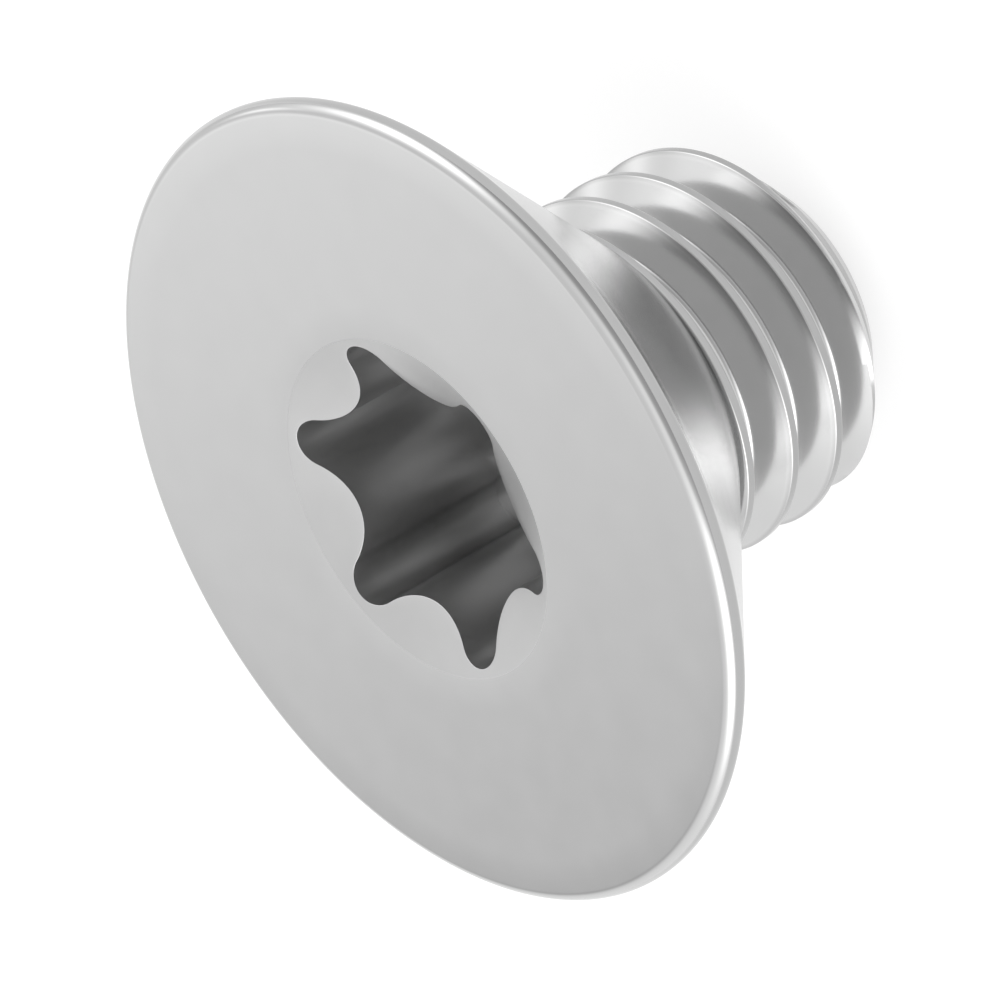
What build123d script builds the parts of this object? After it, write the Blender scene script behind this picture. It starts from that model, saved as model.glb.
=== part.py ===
from build123d import *
import os
from math import atan2, cos, degrees, pi, sin, tan

os.makedirs("parts", exist_ok=True)

# Countersunk screw with a six-lobe socket, turned and forged as one piece: metric thread
# 8 x 1.25, 10 mm long over the head, threaded up to the head. Millimetres.
# The screw stands on its thread end. The origin is the middle of that end face, the axis
# of the screw is Z and the face with the socket looks up.

# Whole screw
length = 10.0  # from the end of the thread to the flat face of the head

# Thread
thread_diameter = 8.0  # over the ridges
pitch = 1.25
crest_flat = 0.24  # width of the flat that is left on top of a ridge
flank_angle = 60.0  # between the two sides of the groove
root_flat = 0.2  # width of the flat at the bottom of the groove
end_flat_diameter = 5.66  # end face, inside the chamfer
end_chamfer_angle = 45.0  # slope of the chamfer on the end
ridge_height = 5.08  # middle of a ridge above the end face, measured on the +X side
cutter_lift = 0.05  # how far the groove's section reaches outside the ridges
cutter_overrun = 1.0  # how far the groove is cut on past the shank, where the head fills it
lead_in_turns = 2  # turns of the groove cut below the end face, in metal that is trimmed off

# Head
head_diameter = 17.19  # over the rounded rim
seat_angle = 90.0  # of the whole cone
face_edge_radius = 0.26  # between the flat face and the rim
seat_edge_radius = 0.22  # between the rim and the cone
rim_flat = 0.02  # straight part of the rim between the two radii

# Socket
socket_across_lobes = 6.94
socket_across_flutes = 4.9
lobe_radius = 0.55  # inside corner of each lobe
socket_depth = 4.1  # from the face to where the lobes end
mouth_diameter = 7.3  # of the shallow cone at the mouth
mouth_slope = 21.0  # of that cone, measured from the face
floor_slope = 20.0  # of the conical bottom, measured from the face
lobe_count = 6

# Worked out from the sizes above
thread_radius = thread_diameter / 2
head_radius = head_diameter / 2
half_flank = flank_angle * pi / 360
half_seat = seat_angle * pi / 360

rim_height = face_edge_radius + rim_flat + seat_edge_radius * tan((pi / 2 - half_seat) / 2)
cone_height = (head_radius - thread_radius) / tan(half_seat)
shank_length = length - rim_height - cone_height
end_flat_radius = end_flat_diameter / 2
end_chamfer = (thread_radius - end_flat_radius) * tan(end_chamfer_angle * pi / 180)

groove_half_width = (pitch - crest_flat) / 2
groove_bottom = thread_radius - (groove_half_width - root_flat / 2) / tan(half_flank)
groove_start = (ridge_height + pitch / 2) % pitch - lead_in_turns * pitch
groove_end = shank_length + cutter_overrun
trim_top = shank_length + cutter_overrun / 2
blank_bottom = groove_start - pitch
blank_top = groove_end + pitch
cutter_radius = thread_radius + cutter_lift
cutter_half_width = groove_half_width + cutter_lift * tan(half_flank)

lobe_step = 2 * pi / lobe_count
lobe_centre = socket_across_lobes / 2 - lobe_radius
flute_edge = socket_across_flutes / 2
flute_radius = (
    lobe_centre**2 + flute_edge**2 - lobe_radius**2 - 2 * lobe_centre * flute_edge * cos(lobe_step / 2)
) / (2 * (lobe_radius + lobe_centre * cos(lobe_step / 2) - flute_edge))
flute_centre = flute_edge + flute_radius
lobe_half_arc = atan2(
    flute_centre * sin(lobe_step / 2), flute_centre * cos(lobe_step / 2) - lobe_centre
)
flute_half_arc = lobe_half_arc - lobe_step / 2

mouth_radius = mouth_diameter / 2
mouth_depth = mouth_radius * tan(mouth_slope * pi / 180)
floor_depth = flute_edge * tan(floor_slope * pi / 180)

with BuildPart() as screw:
    # Blank of the shank: a plain rod, longer than the shank at both ends
    with BuildSketch(Plane.XY.offset(blank_bottom)):
        Circle(thread_radius)
    extrude(amount=blank_top - blank_bottom)

    # Thread: one right-hand groove with straight sides and a flat bottom, cut along a helix
    with BuildLine():
        groove_path = Helix(
            pitch, groove_end - groove_start, thread_radius, center=(0, 0, groove_start)
        )
    with BuildSketch(Plane.XZ):
        with BuildLine():
            Polyline(
                (groove_bottom, groove_start - root_flat / 2),
                (groove_bottom, groove_start + root_flat / 2),
                (cutter_radius, groove_start + cutter_half_width),
                (cutter_radius, groove_start - cutter_half_width),
                close=True,
            )
        make_face()
    sweep(path=groove_path, is_frenet=True, mode=Mode.SUBTRACT)

    # End: the threaded rod is cut to length and chamfered
    with BuildSketch(Plane.XZ):
        with BuildLine():
            Polyline(
                (0, 0),
                (end_flat_radius, 0),
                (cutter_radius, end_chamfer + cutter_lift * tan(end_chamfer_angle * pi / 180)),
                (cutter_radius, trim_top),
                (0, trim_top),
                close=True,
            )
        make_face()
    revolve(axis=Axis.Z, mode=Mode.INTERSECT)

    # Head: flat face, rounded rim and the cone that seats in the work
    with BuildSketch(Plane.XZ) as head:
        with BuildLine():
            Polyline(
                (0, shank_length),
                (thread_radius, shank_length),
                (head_radius, length - rim_height),
                (head_radius, length),
                (0, length),
                close=True,
            )
        make_face()
        fillet(head.vertices().group_by(Axis.X)[-1].sort_by(Axis.Y)[-1], face_edge_radius)
        fillet(head.vertices().group_by(Axis.X)[-1].sort_by(Axis.Y)[0], seat_edge_radius)
    revolve(axis=Axis.Z)

    # Socket: six lobes and six flutes, each flute a round arc that runs smoothly into its lobes
    with BuildSketch(Plane.XY.offset(length)):
        with BuildLine():
            for lobe in range(lobe_count):
                lobe_angle = pi / 2 + lobe * lobe_step
                flute_angle = lobe_angle + lobe_step / 2
                CenterArc(
                    (lobe_centre * cos(lobe_angle), lobe_centre * sin(lobe_angle)),
                    lobe_radius,
                    degrees(lobe_angle - lobe_half_arc),
                    degrees(2 * lobe_half_arc),
                )
                CenterArc(
                    (flute_centre * cos(flute_angle), flute_centre * sin(flute_angle)),
                    flute_radius,
                    degrees(flute_angle + pi - flute_half_arc),
                    degrees(2 * flute_half_arc),
                )
        make_face()
    extrude(amount=-socket_depth, mode=Mode.SUBTRACT)

    # Shallow cones at the mouth and at the bottom of the socket
    with BuildSketch(Plane.XZ):
        with BuildLine():
            Polyline((0, length), (mouth_radius, length), (0, length - mouth_depth), close=True)
        make_face()
        with BuildLine():
            Polyline(
                (0, length - socket_depth),
                (flute_edge, length - socket_depth),
                (0, length - socket_depth - floor_depth),
                close=True,
            )
        make_face()
    revolve(axis=Axis.Z, mode=Mode.SUBTRACT)

screw.part.label = "screw"
export_step(screw.part, "parts/screw.step")
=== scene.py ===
import math

import bpy
import numpy as np
from mathutils import Matrix, Vector


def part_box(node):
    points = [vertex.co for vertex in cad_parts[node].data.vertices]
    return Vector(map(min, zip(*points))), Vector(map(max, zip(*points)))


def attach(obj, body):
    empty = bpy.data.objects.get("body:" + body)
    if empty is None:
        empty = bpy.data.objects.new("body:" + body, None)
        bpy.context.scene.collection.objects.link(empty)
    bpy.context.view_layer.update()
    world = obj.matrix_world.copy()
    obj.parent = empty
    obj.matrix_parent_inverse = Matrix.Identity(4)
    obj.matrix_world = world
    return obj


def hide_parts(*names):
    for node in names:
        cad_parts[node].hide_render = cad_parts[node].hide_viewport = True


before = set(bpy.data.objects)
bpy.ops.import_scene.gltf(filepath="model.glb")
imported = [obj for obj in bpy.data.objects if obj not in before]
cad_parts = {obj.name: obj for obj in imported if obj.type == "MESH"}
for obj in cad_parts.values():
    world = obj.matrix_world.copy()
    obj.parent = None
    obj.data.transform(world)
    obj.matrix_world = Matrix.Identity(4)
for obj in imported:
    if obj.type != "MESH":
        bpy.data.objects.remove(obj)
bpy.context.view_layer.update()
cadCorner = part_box("screw")[1]
mm = 0.001

# Countersunk screw with a six-lobe socket, sizes in mm, angles in degrees. From columns on, the values lay
# out the mesh: shares are places on the way across a part, and rows are how many a part has.
screwSizes = {
    "headRadius": max(cadCorner.x, cadCorner.y) / mm,
    "length": cadCorner.z / mm,
    "threadRadius": 4.0,
    "pitch": 1.25,
    "crestFlat": 0.17,  # from corner to corner, before they are rounded
    "crestRound": 0.045,  # on the two corners of a ridge
    "flankAngle": 60.0,
    "rootRound": 0.18,
    "ridgeHeight": 5.01,  # middle of a ridge on the +X side
    "endFlatRadius": 2.83,
    "endSlope": 45.0,
    "endRound": 0.06,  # between the end face and its chamfer
    "endBlend": 0.05,  # how softly the chamfer cuts the ridges
    "seatAngle": 90.0,
    "faceEdgeRound": 0.26,
    "seatEdgeRound": 0.22,
    "rimFlat": 0.02,
    "acrossLobes": 6.94,
    "acrossFlutes": 4.9,
    "lobeRound": 0.55,
    "socketDepth": 4.1,
    "socketEdgeRound": 0.01,  # where the walls meet the cone of the mouth
    "mouthRadius": 3.65,
    "mouthSlope": 21.0,
    "mouthRound": 0.02,  # where that cone meets the face
    "floorSlope": 20.0,
    "lobes": 6,
    "columns": 396,
    "floorShares": (0, 0.3, 0.6, 0.85, 1),
    "wallRows": 8,
    "socketEdgeRows": 5,
    "mouthShares": (0.3, 0.65),
    "mouthEdgeRows": 6,
    "faceShares": (0.15, 0.35, 0.6, 0.85, 1),
    "faceEdgeRows": 12,
    "seatEdgeRows": 8,
    "coneRows": 8,
    "threadArcRows": 6,  # on each arc of the thread's section
    "flankRows": 5,
    "endEdgeRows": 4,
    "endShares": (0.7, 0.4, 0),
    "weldDigits": 6,  # points that agree to this many digits are one
    "sharpAngle": 18.0,  # where the mesh folds by more, it is shaded as an edge
}


# Points and outward normals of the socket's outline, as complex numbers, for s from 0 to 1 round the axis.
# Half a sector is an arc of the flute, x = c - R cos(t/R), y = R sin(t/R), then an arc of the lobe about its
# own centre, with t the length along the outline. It is mirrored about the lobe and turned to each sector.
def socketOutline(s, size):
    sector = 2 * math.pi / size["lobes"]
    lobe, r = sector / 2, size["lobeRound"]
    c = size["acrossLobes"] / 2 - r
    edge = size["acrossFlutes"] / 2
    fluteRound = (c * c + edge * edge - r * r - 2 * c * edge * math.cos(lobe)) / (
        2 * (r + c * math.cos(lobe) - edge))
    fluteCentre = edge + fluteRound
    lobeHalf = math.atan2(fluteCentre * math.sin(lobe), fluteCentre * math.cos(lobe) - c)
    fluteHalf = lobeHalf - lobe
    fluteRun, lobeRun = fluteHalf * fluteRound, lobeHalf * r
    turn = np.floor(s * size["lobes"] + 1e-9)  # a point on a border belongs to the next sector
    t = (s * size["lobes"] - turn) * 2 * (fluteRun + lobeRun)
    back = t > fluteRun + lobeRun
    t = np.where(back, 2 * (fluteRun + lobeRun) - t, t)
    onFlute = t < fluteRun
    fluteWay = -np.exp(-1j * t / fluteRound)
    lobeWay = np.exp(1j * (lobe - lobeHalf + (t - fluteRun) / r))
    point = np.where(onFlute, fluteCentre + fluteRound * fluteWay, c * np.exp(1j * lobe) + r * lobeWay)
    normal = np.where(onFlute, -fluteWay, lobeWay)
    mirror = np.exp(1j * sector)
    point = np.where(back, np.conj(point) * mirror, point)
    normal = np.where(back, np.conj(normal) * mirror, normal)
    return point * mirror ** turn, normal * mirror ** turn


# Where the arc on a ridge's corner starts, from the middle of the ridge
def crestArcStart(size):
    lean = math.radians(size["flankAngle"] / 2)
    return size["crestFlat"] / 2 - size["crestRound"] * math.tan(math.pi / 4 - lean / 2)


# Radius of the thread at the distance w along the axis from the middle of the nearest ridge: a flat, a small
# arc, a straight flank and the arc at the bottom of the groove, each tangent to the next.
def threadProfile(w, size):
    w = np.abs((w + size["pitch"] / 2) % size["pitch"] - size["pitch"] / 2)
    lean = math.radians(size["flankAngle"] / 2)
    top, k, root = size["threadRadius"], size["crestRound"], size["rootRound"]
    arcStart = crestArcStart(size)
    arcEnd = arcStart + k * math.cos(lean)
    sharpRoot = top - (size["pitch"] - size["crestFlat"]) / 2 / math.tan(lean)
    rootStart = size["pitch"] / 2 - root * math.cos(lean)
    crestArc = top - k + np.sqrt(np.maximum(k * k - (w - arcStart) ** 2, 0))
    flank = top - (w - size["crestFlat"] / 2) / math.tan(lean)
    rootDrop = np.sqrt(np.maximum(root * root - (size["pitch"] / 2 - w) ** 2, 0))
    rootArc = sharpRoot + root / math.sin(lean) - rootDrop
    return np.select([w < arcStart, w < arcEnd, w < rootStart], [top, crestArc, flank], rootArc)


# Distances along the axis, over one pitch, where the thread's rows lie: close together on the arcs
def ridgeStations(size):
    angles = np.radians(np.linspace(0, 90 - size["flankAngle"] / 2, size["threadArcRows"]))
    crest = crestArcStart(size) + size["crestRound"] * np.sin(angles)
    bottom = size["pitch"] / 2 - size["rootRound"] * np.sin(angles)[::-1]
    flank = np.linspace(crest[-1], bottom[0], size["flankRows"] + 2)[1:-1]
    half = np.concatenate([[0], crest, flank, bottom])
    return np.concatenate([-half[:0:-1], half[:-1]])


# Rows of points from the bottom of the socket over the head to the end of the thread, each row once round
# the axis with its last point on its first. A row is a radius and a height as functions of the angle.
def screwRows(size):
    top, headRadius = size["length"], size["headRadius"]
    s = np.linspace(0, 1, size["columns"] + 1)
    outline, outward = socketOutline(s % 1, size)
    even = np.exp(2j * math.pi * s)
    rows = []

    def add(point, z):
        rows.append(np.stack([point.real, point.imag, np.broadcast_to(z, point.shape)], -1))

    # Bottom of the socket, a cone inside the flutes and flat in the lobes
    floorTop = top - size["socketDepth"]
    edge = size["acrossFlutes"] / 2
    for share in size["floorShares"]:
        inside = np.maximum(edge - share * np.abs(outline), 0)
        add(share * outline, floorTop - inside * math.tan(math.radians(size["floorSlope"])))

    # Wall, up to the cone of the mouth, with a small round at its edge
    slope = math.tan(math.radians(size["mouthSlope"]))
    corner = top - (size["mouthRadius"] - np.abs(outline)) * slope
    edgeRound = size["socketEdgeRound"]
    turn = math.radians(90 - size["mouthSlope"])
    wallTop = corner - edgeRound * math.tan(turn / 2)
    for share in np.linspace(0, 1, size["wallRows"] + 1)[1:]:
        add(outline, floorTop + share * (wallTop - floorTop))
    for angle in np.linspace(0, turn, size["socketEdgeRows"] + 1)[1:]:
        add(outline + outward * edgeRound * (1 - math.cos(angle)), wallTop + edgeRound * math.sin(angle))

    # Cone of the mouth, then the face, whose points move round to even steps
    inner = outline + outward * edgeRound * (1 - math.cos(turn))
    around = inner / np.abs(inner)
    mouthRound, lean = size["mouthRound"], math.radians(size["mouthSlope"])
    arcEnd = size["mouthRadius"] + mouthRound * math.tan(lean / 2)
    arcStart = arcEnd - mouthRound * math.sin(lean)
    for share in size["mouthShares"]:
        radius = np.abs(inner) + share * np.maximum(arcStart - np.abs(inner), 0)
        add(radius * around, top - (size["mouthRadius"] - radius) * slope)
    for angle in np.linspace(lean, 0, size["mouthEdgeRows"]):
        radius = np.maximum(arcEnd - mouthRound * math.sin(angle), np.abs(inner))
        add(radius * around, top - mouthRound + np.sqrt(mouthRound * mouthRound - (arcEnd - radius) ** 2))
    faceEdge = headRadius - size["faceEdgeRound"]
    for share in size["faceShares"]:
        way = around + share * (even - around)
        radius = arcEnd + share * (faceEdge - arcEnd)
        add(radius * way / np.abs(way), top)

    # Rounded edge of the face, rim, rounded edge of the cone
    faceRound, seatRound = size["faceEdgeRound"], size["seatEdgeRound"]
    for angle in np.radians(np.linspace(0, 90, size["faceEdgeRows"] + 1))[1:]:
        add((faceEdge + faceRound * math.sin(angle)) * even, top - faceRound + faceRound * math.cos(angle))
    halfSeat = math.radians(size["seatAngle"] / 2)
    rimEnd = top - faceRound - size["rimFlat"]
    for angle in np.linspace(0, math.pi / 2 - halfSeat, size["seatEdgeRows"]):
        radius = headRadius - seatRound + seatRound * math.cos(angle)
        add(radius * even, rimEnd - seatRound * math.sin(angle))

    # Cone, down to the shank
    rimHeight = faceRound + size["rimFlat"] + seatRound * math.tan(math.pi / 4 - halfSeat / 2)
    shankTop = top - rimHeight - (headRadius - size["threadRadius"]) / math.tan(halfSeat)
    coneTop = rimEnd - seatRound * math.cos(halfSeat)
    coneTopRadius = headRadius - seatRound + seatRound * math.sin(halfSeat)
    for share in np.linspace(0, 1, size["coneRows"] + 1)[1:]:
        radius = coneTopRadius + share * (size["threadRadius"] - coneTopRadius)
        add(radius * even, coneTop + share * (shankTop - coneTop))

    # Thread: each row follows the helix and stops at the cone and at the end of the screw
    ridge = size["ridgeHeight"] + size["pitch"] * s
    ridge = ridge - size["pitch"] * math.floor(size["ridgeHeight"] / size["pitch"])
    firstTurn, lastTurn = math.ceil(shankTop / size["pitch"]) + 1, -2  # beyond both ends of the shank
    turns = np.arange(firstTurn, lastTurn - 1, -1) * size["pitch"]
    alongAxis = (turns[:, None] + ridgeStations(size)[None, ::-1]).ravel()
    endSlope = math.tan(math.radians(size["endSlope"]))
    endRound = size["endRound"]
    corner = size["endFlatRadius"] - endRound * math.tan(math.radians(size["endSlope"] / 2))
    roundTop = endRound * (1 - math.cos(math.radians(size["endSlope"])))
    for offset in alongAxis:
        z = np.clip(ridge + offset, roundTop, shankTop)
        radius = threadProfile(z - ridge, size)
        chamfer = size["endFlatRadius"] + z / endSlope
        near = np.maximum(size["endBlend"] - np.abs(radius - chamfer), 0) / size["endBlend"]
        add((np.minimum(radius, chamfer) - near * near * size["endBlend"] / 4) * even, z)

    # Small round at the end, and the end face
    for angle in np.radians(np.linspace(size["endSlope"], 0, size["endEdgeRows"] + 1))[1:]:
        add((corner + endRound * math.sin(angle)) * even, endRound * (1 - math.cos(angle)))
    for share in size["endShares"]:
        add(corner * share * even, 0.0)
    return np.stack(rows)


# One closed mesh from a grid of rows: points that fall together are one vertex, and a quad that has lost a
# side there is a triangle
def closedMesh(name, rows, size):
    count, across = rows.shape[:2]
    points = np.round(rows.reshape(-1, 3), size["weldDigits"])
    vertices, index = np.unique(points, axis=0, return_inverse=True)
    index = index.reshape(count, across)
    quads = np.stack([index[:-1, :-1], index[1:, :-1], index[1:, 1:], index[:-1, 1:]], -1).reshape(-1, 4)
    same = quads == np.roll(quads, -1, axis=1)
    whole = quads[same.sum(1) == 0]
    lost = same.sum(1) == 1
    triangles = quads[lost][~same[lost]].reshape(-1, 3)
    mesh = bpy.data.meshes.new(name)
    mesh.from_pydata((vertices * mm).tolist(), [], whole.tolist() + triangles.tolist())
    mesh.validate()
    mesh.shade_smooth()
    mesh.set_sharp_from_angle(angle=math.radians(size["sharpAngle"]))
    return mesh


print("stage: screw")
screwMesh = closedMesh("screwBody", screwRows(screwSizes), screwSizes)
screw = bpy.data.objects.new("screwBody", screwMesh)
bpy.context.scene.collection.objects.link(screw)
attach(screw, "root")
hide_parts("screw")

# Camera: azimuth and elevation of the place it looks from, roll, distance, lens, sensor and the point it
# looks at, with lengths in mm
cameraPlace = {
    "azimuth": -45.13,
    "elevation": 34.22,
    "roll": -120.17,
    "distance": 144.7,
    "lens": 264.24,
    "sensor": 36,
    "aim": (-0.68, -0.247, 7.948),
    "clip": (5, 10000),  # nothing nearer or farther is seen
}


# Direction from the middle towards an azimuth and an elevation in degrees
def wayTo(azimuth, elevation):
    a, e = math.radians(azimuth), math.radians(elevation)
    return Vector((math.cos(a) * math.cos(e), math.sin(a) * math.cos(e), math.sin(e)))


def placeCamera(place):
    back = wayTo(place["azimuth"], place["elevation"])
    level = wayTo(place["azimuth"] + 90, 0)
    right = Matrix.Rotation(math.radians(place["roll"]), 3, back) @ level
    up = back.cross(right)
    middle = Vector(place["aim"]) * mm + back * place["distance"] * mm
    camera = bpy.data.objects.new("camera", bpy.data.cameras.new("camera"))
    camera.data.lens = place["lens"]
    camera.data.sensor_width = place["sensor"]
    camera.data.clip_start, camera.data.clip_end = (bound * mm for bound in place["clip"])
    camera.matrix_world = Matrix.Translation(middle) @ Matrix((right, up, back)).transposed().to_4x4()
    bpy.context.scene.collection.objects.link(camera)
    bpy.context.scene.camera = camera


print("stage: camera")
placeCamera(cameraPlace)

# Finish of the steel: colours are linear, lengths in mm. The colour and roughness of each zone were set so
# that it looks as it does in the photo. A fade is two bounds between which a mask goes from 0 to 1.
steelFinish = {
    "colour": 0.5,
    "roughness": 0.18,
    # a little darker than the rest of the steel in the socket: painted shade in the recess
    "socketPaintedShadeColour": 0.48,
    "socketRoughness": 0.36,
    # a little darker on the cone of the socket's mouth: painted shade
    "mouthPaintedShadeColour": 0.485,
    "mouthRoughness": 0.34,
    "rimRoughness": 0.11,
    # darker on the outside of the rounded rim: painted shade
    "edgePaintedShadeColour": 0.42,
    # darker on the tops of the ridges: painted shade
    "crestPaintedShadeColour": 0.42,
    "crestRoughness": 0.14,
    "mottleSize": 0.9,
    "mottleDetail": 3.0,
    "mottleRoughness": 0.05,  # how much the roughness wanders
    "mottleColour": 0.03,  # how much the colour wanders
    "grainSize": 0.07,
    "grainDetail": 2.0,
    "grainHeight": 0.00012,
    "ringSize": 0.09,  # between the turning marks on the face
    "ringDetail": 2.0,
    "ringHeight": 0.00015,
    "wallFade": (0.01, 0.06),  # below the cone of the mouth
    "mouthFade": (0.01, -0.01),  # outside that cone
    "socketFade": (2.0, 2.3),  # height less radius, which is larger in the socket than on the thread
    "rimFade": (-0.04, 0.04),  # outside the flat face
    "edgePaintedShadeFade": (-0.08, -0.18),  # above the face
    "faceFade": (-0.1, -0.02),  # above the face
    "crestFade": (-0.1, -0.03),  # outside the ridges
    "shankFade": (0.3, -0.1),  # above the ridge beside the head
}


# A node with its settings, its values and its links: an input that is given a socket is linked to it
def addNode(tree, kind, inputs=(), **settings):
    made = tree.nodes.new(kind)
    for key, value in settings.items():
        setattr(made, key, value)
    for key, value in inputs:
        if isinstance(value, bpy.types.NodeSocket):
            tree.links.new(value, made.inputs[key])
        else:
            made.inputs[key].default_value = value
    return made


def addMath(tree, operation, *values):
    return addNode(tree, "ShaderNodeMath", enumerate(values), operation=operation).outputs[0]


# A smooth step: 0 before the first bound and 1 beyond the second
def addStep(tree, value, start, end):
    return addNode(tree, "ShaderNodeMapRange", (("Value", value), ("From Min", start), ("From Max", end)),
                   interpolation_type="SMOOTHSTEP").outputs["Result"]


def newGroup(name, inputs, outputs):
    group = bpy.data.node_groups.new(name, "ShaderNodeTree")
    for side, keys in (("INPUT", inputs), ("OUTPUT", outputs)):
        for key in keys:
            group.interface.new_socket(name=key, in_out=side, socket_type="NodeSocketFloat")
    return group, group.nodes.new("NodeGroupOutput")


# Object coordinates in mm
def addPlace(tree):
    coords = addNode(tree, "ShaderNodeTexCoord").outputs["Object"]
    scaled = addNode(tree, "ShaderNodeVectorMath", ((0, coords), ("Scale", 1 / mm)), operation="SCALE")
    return scaled.outputs[0]


# Distance from the axis and height, in mm
def addRadiusAndHeight(tree):
    x, y, z = addNode(tree, "ShaderNodeSeparateXYZ", ((0, addPlace(tree)),)).outputs
    square = addMath(tree, "ADD", addMath(tree, "MULTIPLY", x, x), addMath(tree, "MULTIPLY", y, y))
    return addMath(tree, "SQRT", square), z


# Mottle and fine grain of the steel: two noises about 0, each as large as its input says, in mm
def grainGroup(finish):
    group, out = newGroup("steelGrain", ("Mottle Size", "Grain Size"), ("Mottle", "Grain"))
    sizes = addNode(group, "NodeGroupInput").outputs
    place = addPlace(group)
    for key, detail in (("Mottle", finish["mottleDetail"]), ("Grain", finish["grainDetail"])):
        scale = addMath(group, "DIVIDE", 1.0, sizes[key + " Size"])
        noise = addNode(group, "ShaderNodeTexNoise",
                        (("Vector", place), ("Scale", scale), ("Detail", detail)))
        group.links.new(addMath(group, "SUBTRACT", noise.outputs["Fac"], 0.5), out.inputs[key])
    return group


# Turning marks: a noise about 0 that changes only with the distance from the axis
def ringGroup(finish):
    group, out = newGroup("turningMarks", ("Ring Size",), ("Rings",))
    sizes = addNode(group, "NodeGroupInput").outputs
    along = addMath(group, "DIVIDE", addRadiusAndHeight(group)[0], sizes["Ring Size"])
    noise = addNode(group, "ShaderNodeTexNoise",
                    (("W", along), ("Scale", 1.0), ("Detail", finish["ringDetail"])), noise_dimensions="1D")
    group.links.new(addMath(group, "SUBTRACT", noise.outputs["Fac"], 0.5), out.inputs["Rings"])
    return group


# Masks from 0 to 1: walls and bottom of the socket, cone of its mouth, rounded rim, outside of the rim,
# flat face and tops of the ridges. The masks of the socket, the mouth's cone, the outside of the rim and the
# ridge tops also carry painted shade into the colour.
def zoneGroup(finish, size):
    group, out = newGroup("screwZones", (), ("Socket", "Mouth", "Rim", "Edge", "Face", "Crest"))
    radius, height = addRadiusAndHeight(group)

    def fade(key, value, base=0):
        return addStep(group, value, *(base + bound for bound in finish[key]))

    slope = math.tan(math.radians(size["mouthSlope"]))
    cone = addMath(group, "MULTIPLY_ADD", radius, slope, size["length"] - size["mouthRadius"] * slope)
    below = fade("wallFade", addMath(group, "SUBTRACT", cone, height))
    inside = fade("mouthFade", radius, size["mouthRadius"])
    aboveThread = fade("socketFade", addMath(group, "SUBTRACT", height, radius))
    inside = addMath(group, "MULTIPLY", inside, aboveThread)
    onRim = fade("rimFade", radius, size["headRadius"] - size["faceEdgeRound"])
    outside = fade("edgePaintedShadeFade", height, size["length"])
    onTop = fade("crestFade", radius, size["threadRadius"])
    onShank = fade("shankFade", height, size["ridgeHeight"])
    masks = {
        "Socket": addMath(group, "MULTIPLY", inside, below),
        "Mouth": addMath(group, "MULTIPLY", inside, addMath(group, "SUBTRACT", 1.0, below)),
        "Rim": onRim,
        # outside of the rounded rim, which only places the painted shade there
        "Edge": addMath(group, "MULTIPLY", onRim, outside),
        "Face": fade("faceFade", height, size["length"]),
        "Crest": addMath(group, "MULTIPLY", onTop, onShank),
    }
    for key, mask in masks.items():
        group.links.new(mask, out.inputs[key])
    return group


def steelMaterial(finish, size):
    material = bpy.data.materials.new("satinSteel")
    material.use_nodes = True
    tree = material.node_tree
    shader = tree.nodes["Principled BSDF"]
    grain = addNode(tree, "ShaderNodeGroup", node_tree=grainGroup(finish))
    grain.inputs["Mottle Size"].default_value = finish["mottleSize"]
    grain.inputs["Grain Size"].default_value = finish["grainSize"]
    rings = addNode(tree, "ShaderNodeGroup", node_tree=ringGroup(finish))
    rings.inputs["Ring Size"].default_value = finish["ringSize"]
    zones = addNode(tree, "ShaderNodeGroup", node_tree=zoneGroup(finish, size)).outputs

    # A value of the finish, with each zone's own value in its place, wandering a little with the mottle
    def zoned(base, wander, *zoneValues):
        value = finish[base]
        for zone, key in zoneValues:
            value = addMath(tree, "MULTIPLY_ADD", zones[zone], finish[key] - finish[base], value)
        return addMath(tree, "MULTIPLY_ADD", grain.outputs["Mottle"], finish[wander], value)

    # Colour: a plain grey that is darker in the socket, on the cone of its mouth, on the outside of the rim
    # and on the tops of the ridges, which is painted shade; the mottle is the steel's own tone
    grey = zoned("colour", "mottleColour", ("Socket", "socketPaintedShadeColour"), ("Mouth", "mouthPaintedShadeColour"),
                 ("Edge", "edgePaintedShadeColour"), ("Crest", "crestPaintedShadeColour"))
    rough = zoned("roughness", "mottleRoughness", ("Socket", "socketRoughness"),
                  ("Mouth", "mouthRoughness"), ("Rim", "rimRoughness"), ("Crest", "crestRoughness"))
    colour = addNode(tree, "ShaderNodeCombineColor", ((0, grey), (1, grey), (2, grey))).outputs[0]
    tree.links.new(colour, shader.inputs["Base Color"])
    tree.links.new(rough, shader.inputs["Roughness"])

    # Relief: grain everywhere and turning marks on the face
    relief = addMath(tree, "MULTIPLY", grain.outputs["Grain"], finish["grainHeight"])
    marks = addMath(tree, "MULTIPLY", rings.outputs["Rings"], finish["ringHeight"])
    relief = addMath(tree, "MULTIPLY_ADD", marks, zones["Face"], relief)
    bump = addNode(tree, "ShaderNodeBump", (("Height", relief), ("Strength", 1.0), ("Distance", mm)))
    tree.links.new(bump.outputs[0], shader.inputs["Normal"])
    shader.inputs["Metallic"].default_value = 1
    return material


print("stage: steel")
screw.data.materials.append(steelMaterial(steelFinish, screwSizes))

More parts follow.
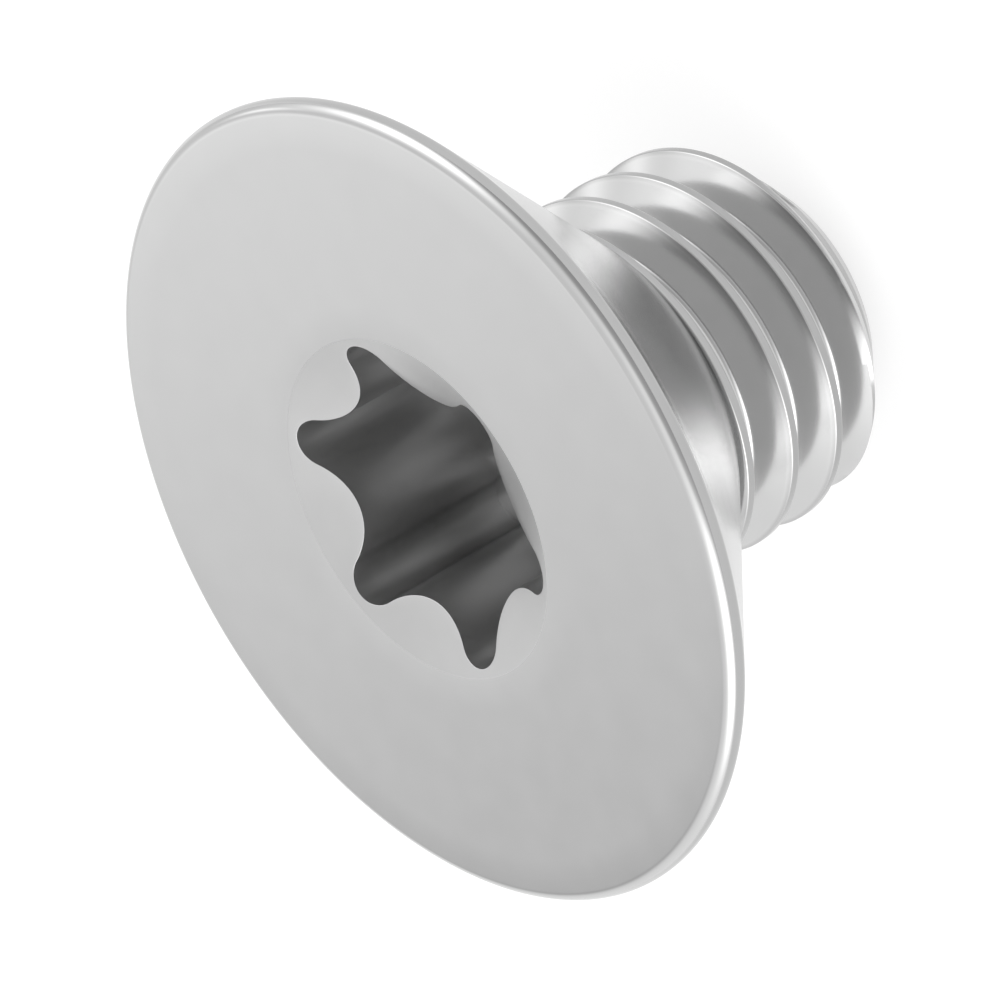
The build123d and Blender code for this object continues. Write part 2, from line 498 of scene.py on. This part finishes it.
# Studio: a pale floor and a soft sky that is darker low behind the camera. Angles in degrees, lengths in
# metres, brightness as a share of white
studio = {
    "skyBright": 1.1,
    "skyDark": 0.68,
    "brightSide": (135, 50),  # azimuth and elevation of its middle
    "skyTurn": (-0.2, 0.25),  # where it turns from dark to bright, as the cosine from that middle
    "slopeMiddle": (134.9, 34.2),  # place in the sky where the brightness changes most
    "slopeWay": (35.5, 13.4),  # and the way in which it grows
    "slope": 4.3,  # share of the brightness for each radian, at that place
    "slopeSharpness": 40,
    "counterSlope": 0.22,  # the other way, over the whole sky
    "floorSize": 3.0,
    "floorDrop": 0.00002,  # below the end of the screw
    "floorColour": 0.32,
    "floorLift": 0.72,  # what the floor shows to the camera and to metal besides its own light
}

# Soft lights, which are parts of the sky: the sharper, the smaller. They were set so that the
# highlights look as they do in the photo.
softLights = [
    {"azimuth": -124, "elevation": 34, "brightness": 2.7, "sharpness": 13},
    {"azimuth": -97, "elevation": 22, "brightness": 0.8, "sharpness": 25},
    {"azimuth": 46, "elevation": 28, "brightness": 2.4, "sharpness": 13},
    {"azimuth": 93, "elevation": 25, "brightness": 0.9, "sharpness": 150},
    {"azimuth": -45, "elevation": 60, "brightness": 0.3, "sharpness": 12},
]


def floorMaterial(values):
    material = bpy.data.materials.new("paleFloor")
    material.use_nodes = True
    tree = material.node_tree
    shader = tree.nodes["Principled BSDF"]
    shader.inputs["Base Color"].default_value = (values["floorColour"],) * 3 + (1,)
    shader.inputs["Roughness"].default_value = 1
    shader.inputs["Specular IOR Level"].default_value = 0
    shader.inputs["Emission Color"].default_value = (1, 1, 1, 1)
    path = addNode(tree, "ShaderNodeLightPath").outputs
    seen = addMath(tree, "MAXIMUM", path["Is Camera Ray"], path["Is Glossy Ray"])
    seen = addMath(tree, "MAXIMUM", seen, path["Is Transmission Ray"])
    lift = addMath(tree, "MULTIPLY", seen, values["floorLift"])
    tree.links.new(lift, shader.inputs["Emission Strength"])
    return material


def makeFloor(values):
    half, z = values["floorSize"] / 2, -values["floorDrop"]
    corners = np.array([(-1, -1), (1, -1), (1, 1), (-1, 1)]) * half
    mesh = bpy.data.meshes.new("floor")
    mesh.from_pydata([(x, y, z) for x, y in corners.tolist()], [], [(0, 1, 2, 3)])
    mesh.materials.append(floorMaterial(values))
    floor = bpy.data.objects.new("floor", mesh)
    bpy.context.scene.collection.objects.link(floor)


# Brightness of the sky by direction d: a smooth step over the cosine from the middle of the bright side,
# times 1 + (d . w) (s exp(k (d . m - 1)) - c), a slope s towards w round the middle m, and a counter slope c
# everywhere. Each soft light adds b exp(h (d . l - 1)), its brightness b round its middle l, with h its
# sharpness.
def makeSky(values, lights):
    world = bpy.data.worlds.new("studio")
    world.use_nodes = True
    tree = world.node_tree
    way = addNode(tree, "ShaderNodeTexCoord").outputs["Generated"]

    def cosineFrom(azimuth, elevation):
        return addNode(tree, "ShaderNodeVectorMath", ((0, way), (1, wayTo(azimuth, elevation))),
                       operation="DOT_PRODUCT").outputs["Value"]

    share = addStep(tree, cosineFrom(*values["brightSide"]), *values["skyTurn"])
    grey = addMath(tree, "MULTIPLY_ADD", share, values["skyBright"] - values["skyDark"], values["skyDark"])
    near = addMath(tree, "SUBTRACT", cosineFrom(*values["slopeMiddle"]), 1.0)
    near = addMath(tree, "EXPONENT", addMath(tree, "MULTIPLY", near, values["slopeSharpness"]))
    slope = addMath(tree, "MULTIPLY_ADD", near, values["slope"], -values["counterSlope"])
    factor = addMath(tree, "MULTIPLY_ADD", slope, cosineFrom(*values["slopeWay"]), 1.0)
    grey = addMath(tree, "MULTIPLY", grey, factor)
    for light in lights:
        cosine = cosineFrom(light["azimuth"], light["elevation"])
        fall = addMath(tree, "MULTIPLY_ADD", cosine, light["sharpness"], -light["sharpness"])
        glow = addMath(tree, "EXPONENT", fall)
        grey = addMath(tree, "MULTIPLY_ADD", glow, light["brightness"], grey)
    tree.links.new(grey, tree.nodes["Background"].inputs["Color"])
    bpy.context.scene.world = world


print("stage: studio")
makeFloor(studio)
makeSky(studio, softLights)
bpy.context.scene.view_settings.view_transform = "Standard"
